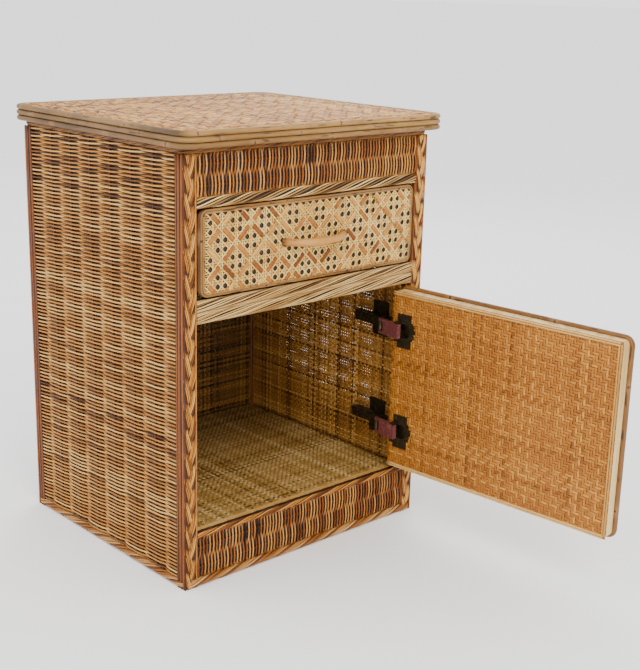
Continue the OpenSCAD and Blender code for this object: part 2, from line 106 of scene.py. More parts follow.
def new_group(name, inputs, outputs):
    """Empty shader node group with named inputs and outputs, and the means to fill it."""
    group = bpy.data.node_groups.new(name, "ShaderNodeTree")
    for label, kind, value in inputs:
        socket = group.interface.new_socket(name=label, in_out="INPUT", socket_type=kind)
        socket.default_value = value
    for label, kind in outputs:
        group.interface.new_socket(name=label, in_out="OUTPUT", socket_type=kind)
    return group, group.nodes.new("NodeGroupInput"), group.nodes.new("NodeGroupOutput")


def attribute(tree, name):
    node = tree.nodes.new("ShaderNodeAttribute")
    node.attribute_name = name
    return node


def math_node(tree, operation, a, b=None, clamp=False):
    node = tree.nodes.new("ShaderNodeMath")
    node.operation = operation
    node.use_clamp = clamp
    for slot, value in enumerate((a, b)):
        if value is None:
            continue
        if isinstance(value, (int, float)):
            node.inputs[slot].default_value = value
        else:
            tree.links.new(value, node.inputs[slot])
    return node.outputs[0]


def mix_colour(tree, factor, a, b, blend="MIX"):
    node = tree.nodes.new("ShaderNodeMix")
    node.data_type = "RGBA"
    node.blend_type = blend
    for slot, value in ((0, factor), (6, a), (7, b)):
        if isinstance(value, (int, float, tuple)):
            node.inputs[slot].default_value = value
        else:
            tree.links.new(value, node.inputs[slot])
    return node.outputs[2]


def noise(tree, vector, scale, detail=2.0, roughness=0.5):
    node = tree.nodes.new("ShaderNodeTexNoise")
    node.inputs["Detail"].default_value = detail
    node.inputs["Roughness"].default_value = roughness
    tree.links.new(vector, node.inputs["Vector"])
    if isinstance(scale, (int, float)):
        node.inputs["Scale"].default_value = scale
    else:
        tree.links.new(scale, node.inputs["Scale"])
    return node.outputs["Fac"]


def map_range(tree, value, low, high, to_low=0.0, to_high=1.0):
    node = tree.nodes.new("ShaderNodeMapRange")
    node.interpolation_type = "SMOOTHSTEP"
    tree.links.new(value, node.inputs[0])
    for slot, number in zip((1, 2, 3, 4), (low, high, to_low, to_high)):
        node.inputs[slot].default_value = number
    return node.outputs[0]


def scaled(tree, vector, scale):
    node = tree.nodes.new("ShaderNodeVectorMath")
    node.operation = "MULTIPLY"
    tree.links.new(vector, node.inputs[0])
    node.inputs[1].default_value = scale
    return node.outputs[0]


def build_strand_tone():
    """Colour and grain of a split or round strand: tone of its own, blotches, fibres, and painted shade
    with some grime where it lies low.
    """
    tree, given, out = new_group("strand tone", [
        ("Dark", "NodeSocketColor", (0.1, 0.04, 0.01, 1)),
        ("Middle", "NodeSocketColor", (0.4, 0.2, 0.08, 1)),
        ("Light", "NodeSocketColor", (0.7, 0.5, 0.25, 1)),
        ("Blotch", "NodeSocketFloat", 0.6),
        ("Blotch scale", "NodeSocketFloat", 22.0),
        ("Grime", "NodeSocketFloat", 0.5),
    ], [("Color", "NodeSocketColor"), ("Roughness", "NodeSocketFloat"), ("Height", "NodeSocketFloat")])
    place = tree.nodes.new("ShaderNodeTexCoord").outputs["Object"]
    fibre = attribute(tree, "fibre").outputs["Vector"]
    shade = attribute(tree, "shade").outputs["Fac"]
    lift = attribute(tree, "lift").outputs["Fac"]
    blotch = noise(tree, place, given.outputs["Blotch scale"], 3.0, 0.6)
    streak = noise(tree, scaled(tree, fibre, (28.0, 420.0, 420.0)), 1.0, 2.0)
    fine = noise(tree, scaled(tree, fibre, (90.0, 2600.0, 2600.0)), 1.0, 2.0, 0.7)
    drift = math_node(tree, "MULTIPLY", math_node(tree, "SUBTRACT", blotch, 0.5), given.outputs["Blotch"])
    sway = math_node(tree, "MULTIPLY", math_node(tree, "SUBTRACT", streak, 0.5), 0.5)
    tone = math_node(tree, "ADD", math_node(tree, "ADD", shade, drift), sway, clamp=True)
    low = mix_colour(tree, map_range(tree, tone, 0.0, 0.5), given.outputs["Dark"], given.outputs["Middle"])
    colour = mix_colour(tree, map_range(tree, tone, 0.45, 1.0), low, given.outputs["Light"])
    colour = mix_colour(tree, map_range(tree, fine, 0.35, 0.7, 0.30, 0.0), colour,
                        given.outputs["Dark"], "MULTIPLY")
    # Painted shade with some grime: the strand darkens towards Dark where its lift is low, behind and
    # under its neighbours.
    sunk_shade = math_node(tree, "SUBTRACT", 1.0, map_range(tree, lift, 0.0, 0.8))
    colour = mix_colour(tree, math_node(tree, "MULTIPLY", sunk_shade, given.outputs["Grime"]), colour,
                        given.outputs["Dark"])
    tree.links.new(colour, out.inputs["Color"])
    tree.links.new(map_range(tree, streak, 0.2, 0.8, 0.38, 0.6), out.inputs["Roughness"])
    tree.links.new(math_node(tree, "ADD", fine, math_node(tree, "MULTIPLY", streak, 0.6)),
                   out.inputs["Height"])
    return tree


def build_node_marks():
    """Scorched rings at the nodes of a rattan rod, with short black ticks between them."""
    tree, given, out = new_group("node marks", [
        ("Color", "NodeSocketColor", (0.5, 0.3, 0.1, 1)),
        ("Spacing", "NodeSocketFloat", 0.16),
        ("Scorch", "NodeSocketColor", (0.03, 0.012, 0.005, 1)),
        ("Smoke", "NodeSocketFloat", 0.5),
    ], [("Color", "NodeSocketColor"), ("Height", "NodeSocketFloat")])
    place = tree.nodes.new("ShaderNodeTexCoord").outputs["Object"]
    fibre = attribute(tree, "fibre").outputs["Vector"]
    split = tree.nodes.new("ShaderNodeSeparateXYZ")
    tree.links.new(fibre, split.inputs[0])
    step = math_node(tree, "FRACT", math_node(tree, "DIVIDE", split.outputs[0], given.outputs["Spacing"]))
    off = math_node(tree, "ABSOLUTE", math_node(tree, "SUBTRACT", step, 0.5))
    ragged = noise(tree, scaled(tree, fibre, (60.0, 500.0, 500.0)), 1.0, 2.0)
    ring = map_range(tree, off, 0.004, 0.013, 1.0, 0.0)
    ring = math_node(tree, "MULTIPLY", ring, map_range(tree, ragged, 0.42, 0.55))
    halo = map_range(tree, off, 0.0, 0.09, 0.45, 0.0)
    ticks = map_range(tree, noise(tree, scaled(tree, fibre, (35.0, 260.0, 260.0)), 1.0, 1.0), 0.65, 0.71)
    smoke = map_range(tree, noise(tree, place, 7.0, 3.0, 0.6), 0.5, 0.72)
    marks = math_node(tree, "MAXIMUM", ring, math_node(tree, "MULTIPLY", ticks, 0.8))
    tint = mix_colour(tree, math_node(tree, "MULTIPLY", smoke, given.outputs["Smoke"]),
                      given.outputs["Color"], (0.16, 0.085, 0.035, 1))
    tint = mix_colour(tree, halo, tint, (0.30, 0.15, 0.06, 1))
    tree.links.new(mix_colour(tree, marks, tint, given.outputs["Scorch"]), out.inputs["Color"])
    tree.links.new(math_node(tree, "SUBTRACT", 1.0, ring), out.inputs["Height"])
    return tree


def build_board_grain():
    """Straight grain of a plain board, with dust in it."""
    tree, given, out = new_group("board grain", [
        ("Early", "NodeSocketColor", (0.75, 0.58, 0.36, 1)),
        ("Late", "NodeSocketColor", (0.5, 0.33, 0.17, 1)),
        ("Along", "NodeSocketVector", (6.0, 90.0, 90.0)),
    ], [("Color", "NodeSocketColor"), ("Roughness", "NodeSocketFloat"), ("Height", "NodeSocketFloat")])
    place = tree.nodes.new("ShaderNodeTexCoord").outputs["Object"]
    stretch = tree.nodes.new("ShaderNodeVectorMath")
    stretch.operation = "MULTIPLY"
    tree.links.new(place, stretch.inputs[0])
    tree.links.new(given.outputs["Along"], stretch.inputs[1])
    grain = noise(tree, stretch.outputs[0], 1.0, 4.0, 0.6)
    pores = noise(tree, stretch.outputs[0], 9.0, 2.0, 0.7)
    dust = noise(tree, place, 60.0, 4.0, 0.7)
    colour = mix_colour(tree, map_range(tree, grain, 0.3, 0.7), given.outputs["Early"],
                        given.outputs["Late"])
    colour = mix_colour(tree, map_range(tree, pores, 0.55, 0.75, 0.0, 0.5), colour,
                        given.outputs["Late"], "MULTIPLY")
    colour = mix_colour(tree, map_range(tree, dust, 0.5, 0.8, 0.0, 0.1), colour,
                        (0.62, 0.52, 0.38, 1))
    tree.links.new(colour, out.inputs["Color"])
    tree.links.new(map_range(tree, dust, 0.3, 0.8, 0.5, 0.8), out.inputs["Roughness"])
    tree.links.new(math_node(tree, "ADD", grain, pores), out.inputs["Height"])
    return tree


strand_tone = build_strand_tone()
node_marks = build_node_marks()
board_grain = build_board_grain()


def srgb(code):
    """Linear colour, with full opacity, from a #rrggbb paint code."""
    parts = [int(code[i:i + 2], 16) / 255 for i in (1, 3, 5)]
    return tuple(p / 12.92 if p <= 0.04045 else ((p + 0.055) / 1.055) ** 2.4 for p in parts) + (1.0,)


def new_material(name):
    material = bpy.data.materials.new(name)
    material.use_nodes = True
    return material, material.node_tree, material.node_tree.nodes["Principled BSDF"]


def place_group(tree, group, **values):
    node = tree.nodes.new("ShaderNodeGroup")
    node.node_tree = group
    for label, value in values.items():
        node.inputs[label.replace("_", " ")].default_value = value
    return node


def add_bump(tree, shader, height, distance, strength=0.6):
    """Feeds a height to the shader's normal through a bump of that depth, in metres."""
    bump = tree.nodes.new("ShaderNodeBump")
    bump.inputs["Distance"].default_value = distance
    bump.inputs["Strength"].default_value = strength
    tree.links.new(height, bump.inputs["Height"])
    tree.links.new(bump.outputs["Normal"], shader.inputs["Normal"])


# shade_and_grime sets how strongly low-lying parts darken, as painted shade with some grime.
def strand_material(name, dark, middle, light, blotch, blotch_scale, shade_and_grime, coat=0.0, nodes=0.0,
                    smoke=0.5):
    """Reed, cane or rod in three tones; a rod has nodes that far apart along its length."""
    material, tree, shader = new_material(name)
    tone = place_group(tree, strand_tone, Dark=srgb(dark), Middle=srgb(middle), Light=srgb(light),
                       Blotch=blotch, Blotch_scale=blotch_scale, Grime=shade_and_grime)
    colour = tone.outputs["Color"]
    if nodes:
        marks = place_group(tree, node_marks, Spacing=nodes, Smoke=smoke)
        tree.links.new(colour, marks.inputs["Color"])
        colour = marks.outputs["Color"]
    tree.links.new(colour, shader.inputs["Base Color"])
    tree.links.new(tone.outputs["Roughness"], shader.inputs["Roughness"])
    shader.inputs["Coat Weight"].default_value = coat
    shader.inputs["Coat Roughness"].default_value = 0.35
    shader.inputs["Specular IOR Level"].default_value = 0.25
    add_bump(tree, shader, tone.outputs["Height"], 0.0003)
    return material


def board_material(name, early, late, along=(6.0, 90.0, 90.0)):
    """Board with grain stretched along the axis that has the low number."""
    material, tree, shader = new_material(name)
    grain = place_group(tree, board_grain, Early=srgb(early), Late=srgb(late), Along=along)
    tree.links.new(grain.outputs["Color"], shader.inputs["Base Color"])
    tree.links.new(grain.outputs["Roughness"], shader.inputs["Roughness"])
    add_bump(tree, shader, grain.outputs["Height"], 0.0002)
    return material


def metal_material(name, base, worn, metallic=0.85):
    """Plated steel, rubbed brighter in patches and pitted a little."""
    material, tree, shader = new_material(name)
    place = tree.nodes.new("ShaderNodeTexCoord").outputs["Object"]
    rub = noise(tree, place, 160.0, 4.0, 0.65)
    pits = noise(tree, place, 1400.0, 2.0)
    tree.links.new(mix_colour(tree, map_range(tree, rub, 0.5, 0.72), srgb(base), srgb(worn)),
                   shader.inputs["Base Color"])
    tree.links.new(map_range(tree, rub, 0.3, 0.7, 0.6, 0.35), shader.inputs["Roughness"])
    shader.inputs["Metallic"].default_value = metallic
    add_bump(tree, shader, pits, 0.0001, 0.4)
    return material


reed_tan = strand_material("reed, side weave", "#472205", "#B1752F", "#DAAD63", 0.5, 14.0, 0.8)
reed_front = strand_material("reed, fascia and plinth", "#220B02", "#924E13", "#D39648", 0.3, 30.0, 0.8)
reed_braid = strand_material("reed, post braid", "#602E07", "#B97729", "#E1AA53", 0.5, 20.0, 0.85)
reed_corner = strand_material("reed, corner strip", "#3C1904", "#874814", "#B87731", 0.5, 20.0, 0.7)
reed_rail = strand_material("reed, upper braid", "#623E11", "#C69952", "#F0D08F", 0.5, 24.0, 0.8)
reed_pale = strand_material("reed, lower braid", "#5A3711", "#B58A49", "#DDBD7F", 0.4, 24.0, 0.8)
reed_border = strand_material("reed, top border", "#371B07", "#7A4C22", "#A8773A", 0.5, 20.0, 0.6)
reed_base = strand_material("reed, ground border", "#582B09", "#A16522", "#D8A862", 0.5, 14.0, 0.7)
reed_top = strand_material("reed, top mat", "#623306", "#B1731F", "#D9A64D", 0.6, 9.0, 0.7)
cane_pale = strand_material("cane, drawer and door", "#916621", "#D8B05E", "#EECF7F", 0.25, 30.0, 0.5)
cane_strip = strand_material("cane, wide strips", "#773D0B", "#B16E24", "#D7A44C", 0.7, 60.0, 0.2)
# Two copies of one lining cane: a darker one as painted shade for the left and back walls, a lighter one
# as painted light for the right wall.
cane_wall_shaded = strand_material("cane, wall lining, painted shade", "#241404", "#644216", "#94682E", 0.4, 12.0, 0.5)
cane_lit = strand_material("cane, right wall lining, painted light", "#4A2C0C", "#A06C2C", "#CC9A50", 0.4, 12.0, 0.5)
cane_floor = strand_material("cane, floor mat", "#3A2208", "#A07A3A", "#DDBE80", 0.45, 10.0, 0.85)
cane_door = strand_material("cane, door lining", "#66360B", "#A1631F", "#C78B38", 0.4, 14.0, 0.6)
cane_trim = strand_material("cane, pale trim", "#815019", "#BC893E", "#D7AF68", 0.5, 20.0, 0.2, coat=0.1)
rod_top = strand_material("rod, top edge", "#251305", "#845D2C", "#BE9350", 0.9, 6.0, 0.85,
                          coat=0.12, nodes=0.13, smoke=0.7)
rod_edge = strand_material("rod, panel edge", "#44250A", "#825624", "#AF8444", 0.6, 12.0, 0.3,
                           coat=0.1, nodes=0.17, smoke=0.5)
rod_handle = strand_material("rod, handle", "#774616", "#BC8335", "#D7A658", 0.4, 20.0, 0.6,
                             coat=0.3, nodes=0.31, smoke=0.3)
pole_wood = strand_material("rod, hidden pole", "#7A5226", "#B48A50", "#D0A970", 0.5, 10.0, 0.2)
board_pale = board_material("board, door core", "#D7BA7C", "#B08B4B", (90.0, 90.0, 5.0))
board_plain = board_material("board, plain", "#CDB083", "#A4814F")
# Dark backing put behind weaves, ropes, mats and cane: painted shade seen through their gaps.
shade_backing = board_material("dark backing, painted shade", "#2A1507", "#160A03")
bronze = metal_material("steel, dark bronze", "#3B3222", "#6E5E42")
copper = metal_material("steel, coppery", "#7E4340", "#A66A60", 0.6)


# ---------------------------------------------------------------- making pieces

def finish_piece(obj, body, material, replaces=()):
    """Gives a finished piece its material and its body, and hides the CAD nodes it stands for."""
    obj.data.materials.clear()
    obj.data.materials.append(material)
    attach(obj, body)
    if replaces:
        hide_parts(*replaces)
    return obj


NODE_BULGE = 0.05


def close_ends(mesh):
    """Closes the open ends of a mesh of swept strands."""
    form = bmesh.new()
    form.from_mesh(mesh)
    bmesh.ops.holes_fill(form, edges=[e for e in form.edges if e.is_boundary], sides=0)
    bmesh.ops.recalc_face_normals(form, faces=form.faces)
    form.to_mesh(mesh)
    form.free()


def distance_along(path):
    """Distance from a path's first point to each of its points."""
    return np.r_[0, np.cumsum(np.linalg.norm(np.diff(path, axis=0), axis=1))]


def strands(name, paths, shades, width, thickness=None, lifts=None, radii=None, roundness=1,
            cyclic=False, place=None):
    """One mesh of swept strands, round, or flat if they have a thickness. Each vertex knows its
    strand's tone (shade), how far out it lies (lift, 0 to 1) and its place in the strand's own grain
    (fibre: along, and two ways across)."""
    curve = bpy.data.curves.new(name, "CURVE")
    curve.dimensions = "3D"
    curve.twist_mode = "Z_UP" if thickness else "MINIMUM"
    curve.bevel_depth = (thickness or width) / 2
    curve.extrude = (width - thickness) / 2 if thickness else 0
    curve.bevel_resolution = 0 if thickness else roundness
    for i, path in enumerate(paths):
        line = curve.splines.new("POLY")
        line.points.add(len(path) - 1)
        line.points.foreach_set("co", np.c_[path, np.ones(len(path))].ravel())
        if thickness:
            line.points.foreach_set("tilt", np.full(len(path), math.pi / 2))
        if radii is not None:
            line.points.foreach_set("radius", radii[i])
        line.use_cyclic_u = cyclic
        line.use_smooth = True
    source = bpy.data.objects.new(name + " path", curve)
    mesh = bpy.data.meshes.new_from_object(source)
    mesh.name = name
    if not cyclic:
        close_ends(mesh)
    counts = np.array([len(p) for p in paths])
    ring = len(mesh.vertices) // counts.sum()
    along = np.concatenate([distance_along(path) for path in paths])
    tone = np.repeat(shades, counts)
    height = np.concatenate(lifts) if lifts is not None else np.ones(counts.sum())
    turn = np.tile(np.arange(ring) * 2 * math.pi / ring, counts.sum())
    fibre = np.c_[np.repeat(along + 3.7 * tone, ring), np.cos(turn) * width / 2,
                  np.sin(turn) * width / 2 + np.repeat(tone, ring)]
    for label, kind, values in (("shade", "FLOAT", np.repeat(tone, ring)),
                                ("lift", "FLOAT", np.repeat(height, ring)),
                                ("fibre", "FLOAT_VECTOR", fibre)):
        data = mesh.attributes.new(label, kind, "POINT").data
        data.foreach_set("vector" if kind == "FLOAT_VECTOR" else "value",
                         values.astype(np.float32).ravel())
    mesh.polygons.foreach_set("use_smooth", np.ones(len(mesh.polygons), bool))
    if place is not None:
        mesh.transform(place)
    obj = bpy.data.objects.new(name, mesh)
    bpy.context.scene.collection.objects.link(obj)
    bpy.data.objects.remove(source)
    bpy.data.curves.remove(curve)
    return obj


def bevelled_box(name, low, high, edge, place=None, segments=2):
    """Box with rounded edges."""
    form = bmesh.new()
    bmesh.ops.create_cube(form, size=1.0)
    size = np.array(high) - np.array(low)
    bmesh.ops.scale(form, vec=Vector(size), verts=form.verts)
    bmesh.ops.translate(form, vec=Vector((np.array(low) + high) / 2), verts=form.verts)
    bmesh.ops.bevel(form, geom=form.edges[:] + form.verts[:], offset=edge, segments=segments,
                    affect="EDGES", profile=0.5, material=-1)
    if place is not None:
        bmesh.ops.transform(form, matrix=place, verts=form.verts)
    mesh = bpy.data.meshes.new(name)
    form.to_mesh(mesh)
    form.free()
    obj = bpy.data.objects.new(name, mesh)
    bpy.context.scene.collection.objects.link(obj)
    return obj


def node_swelling(route, spacing, share):
    """Radius factor along a rod, a little fuller at each node. A node takes a share of the spacing."""
    turn = distance_along(route) / spacing % 1
    return 1 + NODE_BULGE * np.exp(-((turn - 0.5) / share) ** 2)


def smooth_random(count, spread, step=6):
    """Slowly wandering values, one for each of count points."""
    knots = rng.normal(0, spread, count // step + 3)
    return np.interp(np.arange(count) / step, np.arange(len(knots)), knots)


def stake_places(span, pitch):
    """Even places between the two ends of a span, near the pitch apart."""
    gaps = max(2, round(span / pitch))
    return span * np.arange(1, gaps) / gaps


# ---------------------------------------------------------------- weaves

REED = 2.4 * MM
ROW_PITCH = 5.2 * MM
STAKE_PITCH = 48 * MM
SIDE_SWING = 2.3 * MM
CROSSING_RISE = 1.15 * MM
EXTRA_RISE_LOW = 0.35 * MM
FRONT_REED = 2.0 * MM
FRONT_PITCH = 2.72 * MM
FRONT_SWING = 2.6 * MM


def twined_weave(width, height, swing):
    """Level rows of two reeds twisted round each other, one before and one behind each upright
    stake. They cross midway between stakes, the front one rising. The outer face is +Z."""
    stakes = np.r_[0, stake_places(width, STAKE_PITCH), width]
    spans = [np.linspace(a, b, 9)[:-1] for a, b in zip(stakes, stakes[1:])]
    across = np.concatenate(spans + [[width]])
    turn = np.interp(across, stakes, np.arange(len(stakes)))
    angle = math.pi * (turn - 0.11 * np.sin(2 * math.pi * turn))
    rows = int(height / ROW_PITCH)
    pitch = height / rows
    paths, lifts = [], []
    for row in range(rows):
        rise = CROSSING_RISE + EXTRA_RISE_LOW * (1 - row / rows)
        for half in (0, math.pi):
            level = ((row + 0.5) * pitch + smooth_random(len(across), 0.2 * MM)
                     + rise * np.sin(angle + half))
            out = swing * np.cos(angle + half) + smooth_random(len(across), 0.12 * MM)
            paths.append(np.c_[across, np.clip(level, REED / 2, height), out])
            lifts.append(np.clip(0.8 + 0.8 * np.cos(angle + half), 0, 1))
    return paths, lifts


def upright_weave(width, height, pitch, swing):
    """Upright reeds that pass before one level stake and behind the other."""
    up = np.linspace(0, height, 15)
    paths, lifts = [], []
    for k in range(int(width / pitch)):
        wave = np.sin(2 * math.pi * up / height + math.pi * k)
        lean = rng.normal(0, 0.35 * MM) * up / height + smooth_random(len(up), 0.12 * MM)
        kink = -0.5 * MM * np.abs(wave)
        paths.append(np.c_[(k + 0.5) * pitch + lean + kink, up, swing * wave])
        lifts.append(0.5 + 0.5 * wave)
    return paths, lifts


def plait(length, width, reed, reeds, wave_length, depth, phase, spacing):
    """Three-strand plait along +Y, each strand a flat bundle of reeds side by side that runs
    straight from edge to edge. Reeds lie spacing times their thickness apart."""
    apart = reed * spacing
    reach = (width - reeds * apart) / 2
    y = np.linspace(0, length, max(6, int(length / (4 * MM))))
    paths, lifts = [], []
    for strand in range(3):
        angle = 2 * math.pi * (y / wave_length + strand / 3) + phase
        x = reach * (0.75 * np.arcsin(np.sin(angle)) * 2 / math.pi + 0.25 * np.sin(angle))
        slope = np.arctan2(np.gradient(x), np.gradient(y))
        out = depth * np.sin(2 * angle)
        for j in range(reeds):
            side = (j - (reeds - 1) / 2) * apart
            crown = 1 - 0.35 * (2 * (j + 0.5) / reeds - 1) ** 2
            wander = smooth_random(len(y), 0.16 * MM)
            paths.append(np.c_[x + (side + wander) * np.cos(slope), y - side * np.sin(slope),
                               out * crown + smooth_random(len(y), 0.12 * MM)])
            # Lift falls where the strand dips and towards each bundle's edges, which the strand tone
            # darkens as painted shade.
            lifts.append(np.clip(0.55 + 0.45 * np.sin(2 * angle), 0, 1) * (0.5 + 0.5 * crown))
    return paths, lifts


def rope(length, half_height, half_depth, reed, reeds, lay, bundles=3):
    """Flattened rope along +X, its outer face +Z: bundles of reeds laid at a low angle."""
    x = np.linspace(0, length, max(8, int(length / (6 * MM))))
    start = rng.random() * 6
    paths, lifts = [], []
    for bundle in range(bundles):
        for j in range(reeds):
            angle = 2 * math.pi * (x / lay + (bundle + (j + 0.5) / reeds * 0.9) / bundles) + start
            angle = angle + smooth_random(len(x), 0.05)
            crown = 1 - 0.22 * abs((j + 0.5) / reeds - 0.5) * 2
            paths.append(np.c_[x, (half_height - reed / 2) * np.sin(angle),
                               (half_depth - reed / 2) * crown * np.cos(angle)])
            lifts.append(np.clip(0.3 + 0.7 * np.cos(angle) * crown, 0, 1))
    return paths, lifts


def twist(route, bundle_r, turns, reeds_each):
    """Rope of three bundles laid round a level route, with so many turns to the metre."""
    tangent = np.gradient(route, axis=0)
    tangent /= np.linalg.norm(tangent, axis=1)[:, None]
    side = np.cross(tangent, [0, 0, 1.0])
    reach = distance_along(route)
    paths, lifts = [], []
    for strand in range(3):
        for j in range(reeds_each):
            angle = 2 * math.pi * (reach * turns + (strand + (j + 0.5) / reeds_each * 0.85) / 3)
            swell = bundle_r * (1 + smooth_random(len(route), 0.05))[:, None]
            paths.append(route + swell * (np.cos(angle)[:, None] * side
                                          + np.sin(angle)[:, None] * np.array([0, 0, 1.0])))
            lifts.append(np.full(len(route), 0.35 + 0.65 * abs(j + 1 - reeds_each / 2) / reeds_each))
    return paths, lifts


def loop_route(width, depth, corner, step=6 * MM, closed=True):
    """Level rounded rectangle round the origin, its points about one step apart."""
    centres = np.array([(1, 1), (-1, 1), (-1, -1), (1, -1)]) * (width / 2 - corner, depth / 2 - corner)

    def on_corner(quarter, angle):
        return centres[quarter % 4] + corner * np.array((math.cos(angle), math.sin(angle)))

    points = []
    for quarter in range(4):
        points += [on_corner(quarter, math.pi / 2 * (quarter + i / 6)) for i in range(7)]
        here = points[-1]
        end = on_corner(quarter + 1, math.pi / 2 * (quarter + 1))
        count = max(1, int(math.dist(here, end) / step))
        points += [here + (end - here) * i / count for i in range(1, count)]
    points = np.array(points)
    if closed:
        points = np.vstack([points, points[:1]])
    return np.c_[points, np.zeros(len(points))]


def mat(width, depth, pitch, thickness, floats, wander=0.12 * MM, zigzag=None):
    """Twill mat of flat strands: each passes over as many as it passes under, one step on each row.
    With a zigzag the steps turn back after that many rows, as in herringbone."""
    nx, ny = int(width / pitch), int(depth / pitch)
    px, py = width / nx, depth / ny
    period = 2 * floats

    def shift(row):
        return np.abs(row % (2 * zigzag) - zigzag) if zigzag else row

    paths, lifts = [], []
    for along, count, other, step, gap in ((0, ny, nx, py, px), (1, nx, ny, px, py)):
        run = (np.arange(other) + 0.5) * gap
        run[0], run[-1] = 0, other * gap
        for k in range(count):
            cross = np.arange(other)
            over = ((cross - shift(k)) % period < floats if along == 0
                    else (k - shift(cross)) % period >= floats)
            z = np.where(over, 1.0, -1.0) * thickness * 0.45
            line = (k + 0.5) * step + smooth_random(other, wander)
            paths.append(np.c_[run, line, z] if along == 0 else np.c_[line, run, z])
            lifts.append(np.where(over, 1.0, 0.15))
    return paths, lifts


def cut_round(paths, lifts, centres, radius):
    """Leaves out the stretches of each path that lie within a radius of any centre."""
    left, kept = [], []
    for path, lift in zip(paths, lifts):
        clear = np.all([np.hypot(*(path[:, :2] - c).T) > radius for c in centres], axis=0)
        breaks = np.flatnonzero(np.diff(clear.astype(int))) + 1
        for part in np.split(np.arange(len(path)), breaks):
            if clear[part[0]] and len(part) > 1:
                left.append(path[part])
                kept.append(lift[part])
    return left, kept


def tones(count, spread, middle):
    """Tone of each of count strands, 0 dark to 1 light."""
    return np.clip(rng.normal(middle, spread, count), 0, 1)


# ---------------------------------------------------------------- woven skins

def make_side(node, place):
    """Twined skin over one side or the back."""
    low, high = box(node)
    width = max(high[0] - low[0], high[1] - low[1])
    paths, lifts = twined_weave(width, high[2] - low[2], SIDE_SWING)
    obj = strands(node + "_reeds", paths, tones(len(paths), 0.2, 0.55), REED, lifts=lifts, place=place)
    finish_piece(obj, "cabinet", reed_tan, (node,))


low, high = box("side_weave_left")
make_side("side_weave_left", facing(((low[0] + high[0]) / 2, high[1], low[2]), (0, -1, 0), (0, 0, 1)))
low, high = box("side_weave_right")
make_side("side_weave_right", facing(((low[0] + high[0]) / 2, low[1], low[2]), (0, 1, 0), (0, 0, 1)))
low, high = box("back_weave")
make_side("back_weave", facing((high[0], (low[1] + high[1]) / 2, low[2]), (-1, 0, 0), (0, 0, 1)))

# The right side is open to the light between its reeds over the middle of the cupboard.
GROUND_T = 0.6 * MM
SLOTS_FROM = 150 * MM
SLOTS_REACH = 100 * MM


def make_ground(node, name, low, high):
    """Thin dark sheet just behind a weave, painted shade where nothing lit may show through it."""
    ground = bevelled_box(node + name, low, high, 0.1 * MM, segments=1)
    finish_piece(ground, "cabinet", shade_backing, (node,))


# The dark sheets behind the weaves are painted shade in their gaps.
drawer_floor = box("cabinet_ceiling")[0][2]
low, high = box("side_weave_left")
make_ground("side_weave_left", "_ground", (high[0] - GROUND_T, low[1], low[2]), high)
low, high = box("side_weave_right")
near, far = low[0], low[0] + GROUND_T
for name, start, end in (
        ("_ground", (near, low[1], drawer_floor), (far, high[1], high[2])),
        ("_low_ground", (near, low[1], low[2]), (far, high[1], SLOTS_FROM)),
        ("_front_ground", (near, low[1], SLOTS_FROM), (far, -SLOTS_REACH, drawer_floor)),
        ("_back_ground", (near, SLOTS_REACH, SLOTS_FROM), (far, high[1], drawer_floor))):
    make_ground("side_weave_right", name, start, end)
low, high = box("back_weave")
make_ground("back_weave", "_ground", low, (high[0], low[1] + GROUND_T, high[2]))
for node in ("fascia_weave", "plinth_weave"):
    low, high = box(node)
    make_ground(node, "_ground", (low[0], high[1] - GROUND_T, low[2]), high)

for node in ("fascia_weave", "plinth_weave"):
    low, high = box(node)
    place = facing((low[0], (low[1] + high[1]) / 2, low[2]), (1, 0, 0), (0, 0, 1))
    paths, lifts = upright_weave(high[0] - low[0], high[2] - low[2], FRONT_PITCH, FRONT_SWING)
    smoked = rng.random(len(paths)) < 0.2
    shade = np.where(smoked, tones(len(paths), 0.1, 0.35), tones(len(paths), 0.2, 0.72))
    obj = strands(node + "_reeds", paths, shade, FRONT_REED, lifts=lifts, place=place)
    finish_piece(obj, "cabinet", reed_front, (node,))

# ---------------------------------------------------------------- braided posts

PLAIT_REED = 1.65 * MM
PLAIT_WAVE = 100 * MM
CORNER_REED = 2.1 * MM
CORE_DEPTH = 2.4 * MM


def upright_reeds(width, height, count, bulge):
    """Reeds side by side up a face, wandering a little, fuller in the middle of the width."""
    up = np.linspace(0, height, 28)
    paths = []
    for k in range(count):
        x = ((k + 0.5) / count - 0.5) * width
        out = bulge * (1 - (2 * x / width) ** 2)
        paths.append(np.c_[x + smooth_random(len(up), 0.35 * MM), up,
                           out + smooth_random(len(up), 0.2 * MM)])
    return paths


